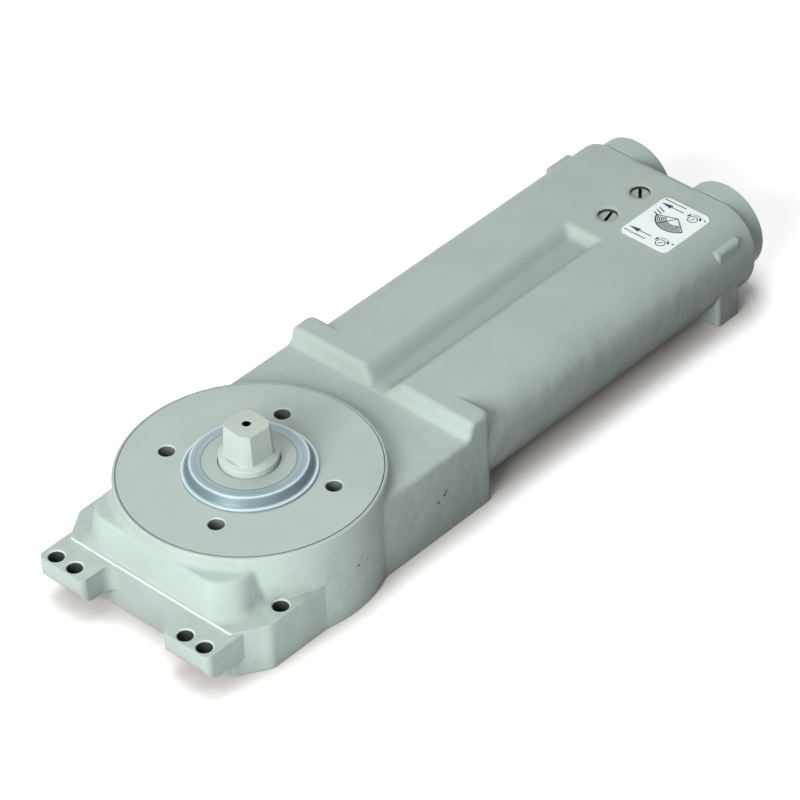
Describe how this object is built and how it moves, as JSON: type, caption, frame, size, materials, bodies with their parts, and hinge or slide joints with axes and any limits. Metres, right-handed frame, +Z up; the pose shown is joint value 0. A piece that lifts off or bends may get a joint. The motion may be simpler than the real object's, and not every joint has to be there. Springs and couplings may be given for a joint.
{
  "type": "transom door closer",
  "caption": "Concealed overhead closer: cast twin-barrel body with a round screwed cover and a square spindle that two spring-loaded rack pistons turn back, with speed valves on top.",
  "frame": {"origin": "on the spindle axis, in the plane of the flat base", "axes": "+X along the barrels to the end plugs, +Y to the left barrel, +Z up the spindle"},
  "size_m": [0.277, 0.0896, 0.0548],
  "materials": {
    "cast_body": "satin grey-green paint on a cast skin",
    "painted_steel": "satin grey-green paint on turned steel",
    "zinc_plate": "bright bluish zinc plate",
    "valve_steel": "plain turned steel",
    "machined_steel": "machined",
    "bearing_steel": "ground and polished",
    "spring_steel": "oil-blackened",
    "bronze": "turned",
    "rubber": "matt",
    "label_film": "white printed film"
  },
  "bodies": {
    "body": {"housing": "cast_body", "cover_plate": "painted_steel", "cover_seal": "rubber", "retainer_ring": "zinc_plate", "spindle_washer": "painted_steel", "lip_seal": "rubber", "bearing_cup": "bearing_steel", "bearing_rollers": "bearing_steel", "lower_bush": "bronze", "thrust_washer": "bronze", "adjustment_label": "label_film", "left_spring": "spring_steel", "left_spring_seat": "machined_steel", "left_end_plug": "painted_steel", "left_plug_ring": "rubber", "right_spring": "spring_steel", "right_spring_seat": "machined_steel", "right_end_plug": "painted_steel", "right_plug_ring": "rubber"},
    "spindle": {"spindle": "painted_steel"},
    "left_piston": {"left_rack_piston": "machined_steel", "left_piston_ring": "rubber", "left_check_ball": "bearing_steel", "left_check_retainer": "machined_steel"},
    "right_piston": {"right_rack_piston": "machined_steel", "right_piston_ring": "rubber", "right_check_ball": "bearing_steel", "right_check_retainer": "machined_steel"},
    "closing_speed_valve": {"closing_speed_valve": "valve_steel", "closing_speed_valve_ring": "rubber"},
    "latching_speed_valve": {"latching_speed_valve": "valve_steel", "latching_speed_valve_ring": "rubber"}
  },
  "joints": [
    {"name": "spindle_turn", "type": "hinge", "parent": "body", "child": "spindle", "pos_m": [0, 0, 0.0434], "axis": [0, 0, 1], "range_deg": [-130, 130], "stiffness_Nm_per_rad": 6},
    {"name": "left_piston_slide", "type": "slide", "parent": "body", "child": "left_piston", "axis": [1, 0, 0], "range_m": [-0.0182, 0.0182], "deforming": ["left_spring"]},
    {"name": "right_piston_slide", "type": "slide", "parent": "body", "child": "right_piston", "axis": [1, 0, 0], "range_m": [-0.0182, 0.0182], "deforming": ["right_spring"]},
    {"name": "closing_speed_valve_turn", "type": "hinge", "parent": "body", "child": "closing_speed_valve", "pos_m": [0.177, 0, 0.03], "axis": [0, 0, 1], "range_deg": [-360, 360]},
    {"name": "latching_speed_valve_turn", "type": "hinge", "parent": "body", "child": "latching_speed_valve", "pos_m": [0.1942, 0, 0.03], "axis": [0, 0, 1], "range_deg": [-360, 360]}
  ],
  "couplings": [
    {"joint": "left_piston_slide", "follows": "spindle_turn", "m_per_rad": -0.008},
    {"joint": "right_piston_slide", "follows": "spindle_turn", "m_per_rad": 0.008}
  ]
}
